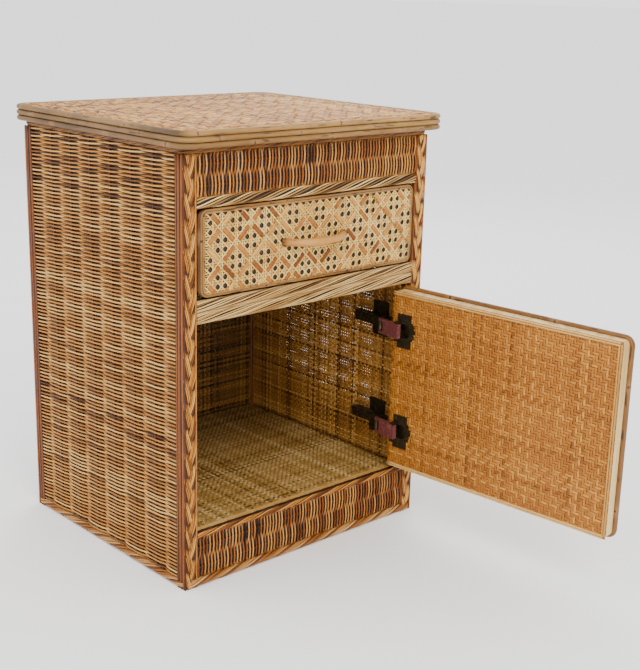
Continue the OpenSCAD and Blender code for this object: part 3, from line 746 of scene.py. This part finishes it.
def make_post(name, side, end):
    """Core of a post, a long plait on its front or back face, and plain reeds up its other faces."""
    low, high = box("post_wrap_" + name)
    middle = (low + high) / 2
    wide, deep, tall = high - low
    outer_y = high[1] if end > 0 else low[1]
    paths, lifts = plait(tall, wide, PLAIT_REED, 4, PLAIT_WAVE, 1.5 * MM, rng.random() * 6, 1.32)
    obj = strands("post_plait_" + name, paths, tones(len(paths), 0.34, 0.58), PLAIT_REED, lifts=lifts,
                  place=facing((middle[0], outer_y - end * 2.6 * MM, low[2]), (-end, 0, 0), (0, 0, 1)))
    finish_piece(obj, "cabinet", reed_braid, ("post_wrap_" + name,))
    for label, turn, outer in (("outer", side, 1), ("inner", -side, 0)):
        face_x = high[0] if turn > 0 else low[0]
        paths = upright_reeds(deep - 2 * MM, tall, 8, 0.5 * MM * outer)
        place = facing((face_x - turn * 1.7 * MM, middle[1], low[2]), (0, turn, 0), (0, 0, 1))
        obj = strands("post_reeds_" + label + "_" + name, paths, tones(len(paths), 0.34, 0.45),
                      CORNER_REED, place=place)
        finish_piece(obj, "cabinet", reed_corner, ("post_wrap_" + name,))
    inset = [CORE_DEPTH, CORE_DEPTH, 0]
    core = bevelled_box("post_core_" + name, low + inset, high - inset, 2 * MM)
    finish_piece(core, "cabinet", reed_corner, ("post_wrap_" + name,))


for end_name, end in (("front", -1), ("back", 1)):
    for side_name, side in (("left", -1), ("right", 1)):
        make_post(end_name + "_" + side_name, side, end)

# ---------------------------------------------------------------- braids and borders


def make_rail(node, rows, material, reed, reeds, lay, half_depth):
    """Rows of flattened rope that cover the front of a rail, over a dark core that stands for painted
    shade in the gaps.
    """
    low, high = box(node)
    length, tall = high[0] - low[0], high[2] - low[2]
    paths, lifts = [], []
    for row in range(rows):
        some, heights = rope(length, tall / rows / 2 + 0.4 * MM, half_depth, reed, reeds, lay)
        for path in some:
            path[:, 1] += tall * (row + 0.5) / rows
        paths += some
        lifts += heights
    place = facing((low[0], low[1] + half_depth + 0.2 * MM, low[2]), (1, 0, 0), (0, 0, 1))
    obj = strands(node + "_rope", paths, tones(len(paths), 0.32, 0.55), reed, lifts=lifts, place=place)
    finish_piece(obj, "cabinet", material, (node,))
    # Dark core: painted shade between the rope's reeds.
    core = bevelled_box(node + "_core", low + [0, half_depth + 0.5 * MM, 0.6 * MM],
                        high - [0, 0, 0.6 * MM], 0.8 * MM)
    finish_piece(core, "cabinet", shade_backing, (node,))


make_rail("lower_rail_braid", rows=2, material=reed_pale, reed=1.9 * MM, reeds=5, lay=250 * MM,
          half_depth=3.6 * MM)
make_rail("upper_rail_braid", rows=1, material=reed_rail, reed=2.0 * MM, reeds=3, lay=130 * MM,
          half_depth=3.6 * MM)
make_rail("floor_edge_braid", rows=1, material=reed_braid, reed=1.6 * MM, reeds=3, lay=80 * MM,
          half_depth=2.4 * MM)


def make_border(node, radius, reed, turns, material, inset):
    """Twisted border all the way round the body, at the middle of its node's height."""
    low, high = box(node)
    route = loop_route(body_w - 2 * inset, body_d - 2 * inset, 9 * MM)
    route[:, 2] = (low[2] + high[2]) / 2
    paths, lifts = twist(route, radius, turns, 3)
    obj = strands(node + "_twist", paths, tones(len(paths), 0.25, 0.55), reed, lifts=lifts)
    finish_piece(obj, "cabinet", material, (node,))


body_low, body_high = box("top_border")
body_w, body_d = body_high[0] - body_low[0], body_high[1] - body_low[1]
make_border("top_border", radius=2.6 * MM, reed=2.2 * MM, turns=14, material=reed_border, inset=3.4 * MM)
make_border("base_braid", radius=4.1 * MM, reed=3.0 * MM, turns=11, material=reed_base, inset=4.0 * MM)

# ---------------------------------------------------------------- top

ROD_CORNER = 18 * MM
ROD_STEP = 9 * MM
TOP_SEAM_SHIFT = 37    # points by which each rod's loop starts later than the one below
BURNT_CORNER = (-0.97, -0.82)    # in halves of the top's width and depth from its middle
top_low, top_high = box("top_rod_middle")
rod_d = top_high[2] - top_low[2]
top_middle = ((top_low + top_high) / 2)[:2]
top_w, top_d = top_high[0] - top_low[0], top_high[1] - top_low[1]
for level, name in enumerate(("lower", "middle", "upper")):
    low, high = box("top_rod_" + name)
    route = loop_route(top_w - rod_d, top_d - rod_d, ROD_CORNER, ROD_STEP, closed=False)
    route = np.roll(route, TOP_SEAM_SHIFT * level, axis=0)
    route += np.array([*top_middle, (low[2] + high[2]) / 2])
    radius = node_swelling(route, 230 * MM, 0.02)
    offset = (route[:, :2] - top_middle) / (top_w / 2, top_d / 2)
    # The rods are darker along the left side, half as much along the back, and darkest at the burnt
    # corner.
    darker_left_and_back = (np.clip((-offset[:, 0] - 0.9) / 0.08, 0, 1)
                 + 0.5 * np.clip((offset[:, 1] - 0.9) / 0.08, 0, 1))
    from_burn = np.hypot(*(offset - BURNT_CORNER).T)
    burn = np.exp(-(from_burn / 0.09) ** 2) * (name == "upper")
    rod_lightness = np.clip(0.72 - 0.34 * darker_left_and_back - burn + smooth_random(len(route), 0.1, 4), 0, 1)
    obj = strands("top_rod_" + name + "_cane", [route], [0.5 + 0.1 * level], rod_d * 0.97,
                  lifts=[rod_lightness], radii=[radius], roundness=4, cyclic=True)
    finish_piece(obj, "cabinet", rod_top, ("top_rod_" + name,))

mat_low, mat_high = box("top_mat")
mat_w, mat_d = mat_high[0] - mat_low[0], mat_high[1] - mat_low[1]
EDGE_PLAIT = 15 * MM
EDGE_REED = 1.9 * MM
EDGE_END = 6 * MM
FIELD_INSET = EDGE_PLAIT - 3 * MM
mat_top = mat_high[2] - 2.2 * MM
paths, lifts = mat(mat_w - 2 * FIELD_INSET, mat_d - 2 * FIELD_INSET, pitch=5.2 * MM, thickness=2.2 * MM,
                   floats=3, wander=0.5 * MM, zigzag=7)
obj = strands("top_mat_field", paths, tones(len(paths), 0.36, 0.5), 4.5 * MM, 1.6 * MM, lifts=lifts,
              place=facing((mat_low[0] + FIELD_INSET, mat_low[1] + FIELD_INSET, mat_top),
                           (1, 0, 0), (0, 1, 0)))
finish_piece(obj, "cabinet", reed_top, ("top_mat",))
for name, length, start, across, up in (
        ("front", mat_w, (mat_high[0], mat_low[1] + EDGE_PLAIT / 2), (0, 1, 0), (-1, 0, 0)),
        ("back", mat_w, (mat_low[0], mat_high[1] - EDGE_PLAIT / 2), (0, -1, 0), (1, 0, 0)),
        ("left", mat_d, (mat_low[0] + EDGE_PLAIT / 2, mat_low[1]), (1, 0, 0), (0, 1, 0)),
        ("right", mat_d, (mat_high[0] - EDGE_PLAIT / 2, mat_high[1]), (-1, 0, 0), (0, -1, 0))):
    paths, lifts = plait(length - 2 * EDGE_END, EDGE_PLAIT, EDGE_REED, 3, 66 * MM, 0.9 * MM,
                         rng.random() * 6, 1.15)
    for path in paths:
        path[:, 1] += EDGE_END
    obj = strands("top_edge_plait_" + name, paths, tones(len(paths), 0.3, 0.6), EDGE_REED, lifts=lifts,
                  place=facing((*start, mat_top), across, up))
    finish_piece(obj, "cabinet", reed_top, ("top_mat",))
# Dark bed under the mat: painted shade in the gaps between its strands.
under = bevelled_box("top_mat_bed", mat_low, mat_high - [0, 0, 2.6 * MM], 0.5 * MM)
finish_piece(under, "cabinet", shade_backing, ("top_mat",))

# ---------------------------------------------------------------- inside of the cabinet

WALL_PITCH = 4.2 * MM
WALL_STRAND = 3.4 * MM
FLOOR_PITCH = 4.2 * MM
FLOOR_STRAND = 3.8 * MM


def open_cane(width, height, pitch):
    """Open square cane: upright and level strands that pass over each other in turn."""
    nx, ny = int(width / pitch), int(height / pitch)
    paths, lifts = [], []
    for along, count, other in ((0, ny, nx), (1, nx, ny)):
        span, room = (width, height) if along == 0 else (height, width)
        run = np.linspace(0, span, other)
        for k in range(count):
            over = (np.arange(other) + k + along) % 2
            z = (over - 0.5) * 0.7 * MM
            line = (k + 0.5) * room / count + smooth_random(other, 0.15 * MM)
            paths.append(np.c_[run, line, z] if along == 0 else np.c_[line, run, z])
            lifts.append(0.4 + 0.6 * over)
    return paths, lifts


def make_lining(node, place, width, height, material):
    """Cane lining over one inner wall."""
    paths, lifts = open_cane(width, height, WALL_PITCH)
    obj = strands(node + "_cane", paths, tones(len(paths), 0.3, 0.5), WALL_STRAND, 0.9 * MM, lifts=lifts,
                  place=place)
    finish_piece(obj, "cabinet", material, (node,))


floor_top = box("floor_mat")[1][2]
# The right lining takes the painted-light copy, the left and back linings the painted-shade copy.
for node, side in (("lining_left", -1), ("lining_right", 1)):
    low, high = box(node)
    start = high[1] if side > 0 else low[1]
    make_lining(node, facing(((low[0] + high[0]) / 2, start, floor_top), (0, -side, 0), (0, 0, 1)),
                high[1] - low[1], high[2] - floor_top, cane_lit if side > 0 else cane_wall_shaded)
low, high = box("lining_back")
make_lining("lining_back", facing((low[0], (low[1] + high[1]) / 2, floor_top), (1, 0, 0), (0, 0, 1)),
            high[0] - low[0], high[2] - floor_top, cane_wall_shaded)

# The mat is darker towards the back: painted shade, deeper in the cupboard.
low, high = box("floor_mat")
paths, lifts = mat(high[0] - low[0], high[1] - low[1], FLOOR_PITCH, thickness=1.0 * MM, floats=1)
lit_share = [1 - 0.75 * np.clip(path[:, 1] / (high[1] - low[1]), 0, 1) for path in paths]
lifts = [lift * share for lift, share in zip(lifts, lit_share)]
obj = strands("floor_mat_cane", paths, tones(len(paths), 0.2, 0.55), FLOOR_STRAND, 0.8 * MM, lifts=lifts,
              place=facing((low[0], low[1], high[2] - 0.6 * MM), (1, 0, 0), (0, 1, 0)))
finish_piece(obj, "cabinet", cane_floor, ("floor_mat",))
# Dark bed under the floor mat: painted shade in the gaps between its strands.
under = bevelled_box("floor_mat_bed", low, high - [0, 0, 1.4 * MM], 0.2 * MM)
finish_piece(under, "cabinet", shade_backing, ("floor_mat",))
run = np.linspace(low[0], high[0], 40)
paths = [np.c_[run, low[1] + side + smooth_random(len(run), 0.1 * MM), np.full(len(run), high[2])]
         for side in (1.8 * MM, 5.2 * MM)]
obj = strands("floor_mat_strip", paths, [0.5, 0.7], 3.3 * MM, 1.0 * MM)
finish_piece(obj, "cabinet", cane_trim, ("floor_mat",))

# ---------------------------------------------------------------- panels with cane and rods

HOLE_PITCH = 11.7 * MM
CANE_START = (HOLE_PITCH + 8.4 * MM, 6.2 * MM)
PAIR_APART = 3.1 * MM
LEVEL_AT, UPRIGHT_AT, RISING_AT, FALLING_AT = 0.0, 0.35 * MM, 0.7 * MM, 0.95 * MM
STRIP_LENGTH = 23 * MM
STRIP_POINTS = np.array([-1, -0.82, -0.4, 0, 0.4, 0.82, 1.0])
STRIP_RISE = np.array([0.2, 1.0, 1.35, 1.45, 1.35, 1.0, 0.2]) * MM


def six_way_cane(width, height, start_x, start_y):
    """Cane with eight-sided holes: level and upright pairs, and single strands both diagonal ways.
    Holes are centred on start plus whole pitches."""
    paths, lifts = [], []

    def add(a, b, level):
        count = max(2, int(math.dist(a, b) / (HOLE_PITCH / 2)))
        t = np.linspace(0, 1, count)
        wave = np.where(np.arange(count) % 2, 0.25, -0.25) * MM
        paths.append(np.c_[a[0] + (b[0] - a[0]) * t, a[1] + (b[1] - a[1]) * t, level + wave])
        lifts.append(0.65 + 0.35 * np.sign(wave))

    offsets = (-PAIR_APART / 2, PAIR_APART / 2)
    for k in range(-1, int(height / HOLE_PITCH) + 2):
        y = start_y + (k + 0.5) * HOLE_PITCH
        for offset in offsets:
            if 0 < y + offset < height:
                add((0, y + offset), (width, y + offset), LEVEL_AT)
    for k in range(-1, int(width / HOLE_PITCH) + 2):
        x = start_x + (k + 0.5) * HOLE_PITCH
        for offset in offsets:
            if 0 < x + offset < width:
                add((x + offset, 0), (x + offset, height), UPRIGHT_AT)
    reach = int((width + height) / HOLE_PITCH) + 3
    for slope in (1, -1):
        for k in range(-reach, reach):
            c = start_y - slope * start_x + (k + 0.5) * HOLE_PITCH
            ends = (-c, height - c) if slope > 0 else (c - height, c)
            x0, x1 = max(0, ends[0]), min(width, ends[1])
            if x1 - x0 > 3 * MM:
                add((x0, slope * x0 + c), (x1, slope * x1 + c), RISING_AT if slope > 0 else FALLING_AT)
    return paths, lifts


def wide_strips(width, height, start_x, start_y):
    """Wide strips that close two holes each, midway between the clusters of four open holes."""
    paths, lifts = [], []
    half = STRIP_LENGTH / 2 * math.sqrt(0.5)
    reach_x, reach_y = int(width / HOLE_PITCH) + 4, int(height / HOLE_PITCH) + 4
    for i in range(-4, reach_x):
        for j in range(-4, reach_y):
            if (i % 4, j % 4) in ((1, 1), (3, 3)):
                slope = -1
            elif (i % 4, j % 4) in ((3, 1), (1, 3)):
                slope = 1
            else:
                continue
            x, y = start_x + (i + 0.5) * HOLE_PITCH, start_y + (j + 0.5) * HOLE_PITCH
            px, py = x + half * STRIP_POINTS, y + slope * half * STRIP_POINTS
            inside = (px > 0) & (px < width) & (py > 0) & (py < height)
            if inside.sum() < 3:
                continue
            paths.append(np.c_[px, py, STRIP_RISE][inside])
            lifts.append(np.ones(inside.sum()))
    return paths, lifts


def make_cane_panel(prefix, low, high, body, place):
    """Cane field with its wide strips, on a front that faces -Y; low and high are the field's box."""
    node = prefix + "_cane"
    width, height = high[0] - low[0], high[2] - low[2]
    origin = place @ facing((low[0], high[1] - 1.2 * MM, low[2]), (1, 0, 0), (0, 0, 1))
    paths, lifts = six_way_cane(width, height, *CANE_START)
    obj = strands(prefix + "_cane_field", paths, tones(len(paths), 0.24, 0.6), 1.95 * MM, 0.7 * MM,
                  lifts=lifts, place=origin)
    finish_piece(obj, body, cane_pale, (node,))
    paths, lifts = wide_strips(width, height, *CANE_START)
    obj = strands(prefix + "_cane_strips", paths, tones(len(paths), 0.3, 0.5), 5.4 * MM, 0.9 * MM,
                  lifts=lifts, place=origin)
    finish_piece(obj, body, cane_strip, (node,))
    # Dark bed behind the cane: painted shade in its holes.
    bed = bevelled_box(prefix + "_cane_bed", (low[0], high[1] - 0.4 * MM, low[2]),
                       (high[0], high[1] + 0.2 * MM, high[2]), 0.1 * MM, place, 1)
    finish_piece(bed, body, shade_backing, (node,))


# Points by which a rod's loop starts later, so that its nodes fall elsewhere
RING_SEAM_SHIFT = 23


def ring_route(low, high, corner, inset, y):
    """Upright rounded rectangle inset (sideways, upwards) in a box, at depth y."""
    width, height = high[0] - low[0] - 2 * inset[0], high[2] - low[2] - 2 * inset[1]
    flat = loop_route(width, height, corner, 9 * MM, closed=False)
    centre = (low + high) / 2
    return np.c_[flat[:, 0] + centre[0], np.full(len(flat), y), flat[:, 1] + centre[2]]


def make_ring(name, node, low, high, diameter, corner, y, inset, body, place, shade):
    """Rod bent round a panel, swollen at its nodes."""
    route = np.roll(ring_route(low, high, corner, inset, y), RING_SEAM_SHIFT, axis=0)
    radius = node_swelling(route, 170 * MM, 0.03)
    obj = strands(name, [route], [shade], diameter, radii=[radius], roundness=3, cyclic=True, place=place)
    finish_piece(obj, body, rod_edge, (node,))


def make_bow(name, node, span, rise, diameter, body, place):
    """Bent rattan handle: fuller at its middle, its feet turned into the panel."""
    radius = ((span / 2) ** 2 + rise ** 2) / (2 * rise)
    half = math.asin(span / 2 / radius)
    angle = np.linspace(-half, half, 25)
    path = np.c_[radius * np.sin(angle), -(radius * np.cos(angle) - radius + rise), np.zeros(25)]
    swell = 0.9 + 0.22 * np.cos(angle / half * math.pi / 2)
    worn = np.clip(0.2 + 1.1 * np.cos(angle / half * math.pi / 2), 0, 1)
    obj = strands(name, [path], [0.55], diameter, lifts=[worn], radii=[swell], roundness=5, place=place)
    finish_piece(obj, body, rod_handle, (node,))
    pegs = [np.array([[x, 1.5 * MM, 0], [x, -2.5 * MM, 0]]) for x in (-span / 2, span / 2)]
    obj = strands(name + "_feet", pegs, [0.2, 0.3], diameter * 1.12, roundness=5, place=place)
    finish_piece(obj, body, rod_edge, (node,))


# Drawer front
drawer_at_rest = Matrix.Identity(4)
FRONT_ROD = 3.4 * MM
BACK_ROD = 6.5 * MM
INNER_ROD = 2.6 * MM
FIELD_SIDE = 7.8 * MM
FIELD_END = 3.6 * MM
rod_low, rod_high = box("drawer_edging_outer")
field_low, field_high = box("drawer_cane")
field_low = np.array([rod_low[0] + FIELD_SIDE, field_low[1], rod_low[2] + FIELD_END])
field_high = np.array([rod_high[0] - FIELD_SIDE, field_high[1], rod_high[2] - FIELD_END])
make_cane_panel("drawer", field_low, field_high, "drawer", drawer_at_rest)
make_ring("drawer_rod_outer", "drawer_edging_outer", rod_low, rod_high, FRONT_ROD, 9 * MM,
          rod_low[1] + 3.6 * MM, (3.6 * MM, 0.0), "drawer", drawer_at_rest, 0.6)
# The back ring's very low tone is partly the rod's own brown and partly painted shade, for the dark band
# beside the post.
make_ring("drawer_rod_back", "drawer_edging_outer", rod_low, rod_high, BACK_ROD, 9 * MM,
          rod_high[1] - 4.3 * MM, (1.6 * MM, 1.6 * MM), "drawer", drawer_at_rest, 0.05)
make_ring("drawer_rod_inner", "drawer_edging_inner", rod_low, rod_high, INNER_ROD, 7 * MM,
          field_high[1] - 1.4 * MM, (6.4 * MM, 2.8 * MM), "drawer", drawer_at_rest, 0.75)
low, high = box("drawer_handle")
handle_mid = Vector(((low[0] + high[0]) / 2, high[1], (low[2] + high[2]) / 2))
HANDLE_SPAN = 104 * MM
handle_rise = high[1] - low[1] - 4.6 * MM
handle_d = high[2] - low[2] + 0.6 * MM
make_bow("drawer_bow", "drawer_handle", HANDLE_SPAN, handle_rise, handle_d, "drawer",
         Matrix.Translation(handle_mid))

# Door
field_low, field_high = closed_box("door_cane")
make_cane_panel("door", field_low, field_high, "door", door_at_rest)
low, high = closed_box("door_edging_outer")
make_ring("door_rod_outer", "door_edging_outer", low, high, 8.0 * MM, 10 * MM, (low[1] + high[1]) / 2,
          (4.0 * MM, 4.0 * MM), "door", door_at_rest, 0.4)
low, high = closed_box("door_edging_inner")
make_ring("door_rod_inner", "door_edging_inner", low, high, 5.6 * MM, 6 * MM, high[1] - 1.6 * MM,
          (2.6 * MM, 2.6 * MM), "door", door_at_rest, 0.5)
low, high = closed_box("door_handle")
handle_mid = Vector(((low[0] + high[0]) / 2, high[1], (low[2] + high[2]) / 2))
make_bow("door_bow", "door_handle", HANDLE_SPAN, handle_rise, handle_d, "door",
         door_at_rest @ Matrix.Translation(handle_mid) @ Matrix.Rotation(math.pi / 2, 4, "Y"))

CUP_X = 161 * MM
CUP_R = 16.8 * MM
low, high = closed_box("door_lining")
paths, lifts = mat(high[0] - low[0], high[2] - low[2], pitch=4.1 * MM, thickness=1.3 * MM, floats=2,
                   wander=0.15 * MM)
cup_places = []
for node in ("hinge_cup_upper", "hinge_cup_lower"):
    cup_low, cup_high = closed_box(node)
    cup_places.append((high[0] - CUP_X, (cup_low[2] + cup_high[2]) / 2 - low[2]))
paths, lifts = cut_round(paths, lifts, cup_places, CUP_R)
obj = strands("door_lining_cane", paths, tones(len(paths), 0.17, 0.55), 3.75 * MM, 1.1 * MM, lifts=lifts,
              place=door_at_rest @ facing((high[0], high[1] - 0.8 * MM, low[2]), (-1, 0, 0), (0, 0, 1)))
finish_piece(obj, "door", cane_door, ("door_lining",))

# Two pale strands side by side along the lining's top, bottom and free edge
TRIM = 6.0 * MM
TRIM_OFFSETS = (-1.5 * MM, 1.5 * MM)
strip_y = high[1] + 0.5 * MM
free_edge = closed_box("door_trim")[0][0] + TRIM / 2
top_edge = high[2] - TRIM / 2
bottom_edge = low[2] + TRIM / 2
paths = []
run = np.linspace(free_edge, high[0] - 1 * MM, 60)
for level in (top_edge, bottom_edge):
    for offset in TRIM_OFFSETS:
        paths.append(np.c_[run, np.full(len(run), strip_y),
                           level + offset + smooth_random(len(run), 0.1 * MM)])
run = np.linspace(bottom_edge, top_edge, 50)
for offset in TRIM_OFFSETS:
    paths.append(np.c_[free_edge + offset + smooth_random(len(run), 0.1 * MM),
                       np.full(len(run), strip_y), run])
obj = strands("door_trim_strips", paths, tones(len(paths), 0.25, 0.5), 2.6 * MM, place=door_at_rest)
finish_piece(obj, "door", cane_trim, ("door_trim",))

# ---------------------------------------------------------------- CAD pieces that stay

KEPT_PIECES = (
    (pole_wood, ("post_front_left", "post_front_right", "post_back_left", "post_back_right",
                 "floor_frame", "drawer_frame", "top_frame")),
    (reed_tan, ("side_stakes", "back_stakes", "front_stakes")),
    (board_plain, ("base_frame", "top_board", "cabinet_floor", "cabinet_ceiling",
                   "drawer_runner_left", "drawer_runner_right", "drawer_side_left",
                   "drawer_side_right", "drawer_back", "drawer_bottom", "drawer_front_board")),
    (board_pale, ("door_board",)),
    (bronze, ("hinge_arm_upper", "hinge_arm_lower", "hinge_cup_upper", "hinge_cup_lower")),
    (copper, ("hinge_link_upper", "hinge_link_lower")))
for material, nodes in KEPT_PIECES:
    for node in nodes:
        obj = frame["nodes"][node]
        obj.data.materials.clear()
        obj.data.materials.append(material)

# ---------------------------------------------------------------- floor, light and camera


def make_stage():
    """Wide pale floor under an even white sky."""
    form = bmesh.new()
    bmesh.ops.create_grid(form, x_segments=1, y_segments=1, size=80.0)
    mesh = bpy.data.meshes.new("studio_floor")
    form.to_mesh(mesh)
    form.free()
    floor = bpy.data.objects.new("studio_floor", mesh)
    bpy.context.scene.collection.objects.link(floor)
    material, tree, shader = new_material("studio floor")
    shader.inputs["Base Color"].default_value = (0.92, 0.92, 0.92, 1)
    shader.inputs["Roughness"].default_value = 0.9
    mesh.materials.append(material)
    floor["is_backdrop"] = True
    world = bpy.data.worlds.new("studio")
    bpy.context.scene.world = world
    world.use_nodes = True
    world.node_tree.nodes["Background"].inputs["Color"].default_value = (1.0, 1.0, 1.0, 1)
    world.node_tree.nodes["Background"].inputs["Strength"].default_value = 1.9


def add_light(name, place, target, size, power, colour=(1, 1, 1)):
    data = bpy.data.lights.new(name, "AREA")
    data.size = size
    data.energy = power
    data.color = colour
    light = bpy.data.objects.new(name, data)
    light.location = place
    light.rotation_euler = (Vector(target) - Vector(place)).to_track_quat("-Z", "Y").to_euler()
    bpy.context.scene.collection.objects.link(light)


CAMERA_PLACE = (-1.0744, -1.3640, 0.7624)
CAMERA_YAW = 0.747
CAMERA_PITCH = 0.275
CAMERA_ROLL = 0.026


def add_camera():
    """Camera that looks towards +Y turned to the right by the yaw, down by the pitch, then rolled."""
    yaw, pitch, roll = CAMERA_YAW, CAMERA_PITCH, CAMERA_ROLL
    forward = Vector((math.sin(yaw) * math.cos(pitch), math.cos(yaw) * math.cos(pitch), -math.sin(pitch)))
    right = Vector((math.cos(yaw), -math.sin(yaw), 0))
    up = right.cross(forward)
    tilted_right = right * math.cos(roll) + up * math.sin(roll)
    tilted_up = up * math.cos(roll) - right * math.sin(roll)
    turn = Matrix((tilted_right, tilted_up, -forward)).transposed().to_4x4()
    data = bpy.data.cameras.new("camera")
    data.lens = 65.767164
    data.sensor_width = 36
    camera = bpy.data.objects.new("camera", data)
    camera.matrix_world = Matrix.Translation(CAMERA_PLACE) @ turn
    bpy.context.scene.collection.objects.link(camera)
    bpy.context.scene.camera = camera


make_stage()
add_light("key", (-0.9, -2.2, 2.1), (0, 0, 0.3), 1.6, 50, (1.0, 0.97, 0.92))
add_light("fill", (-2.4, 0.2, 1.3), (0, 0, 0.3), 1.8, 22)
add_light("rim", (1.8, 1.4, 1.8), (0, 0, 0.4), 1.4, 20)
add_camera()

low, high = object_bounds()
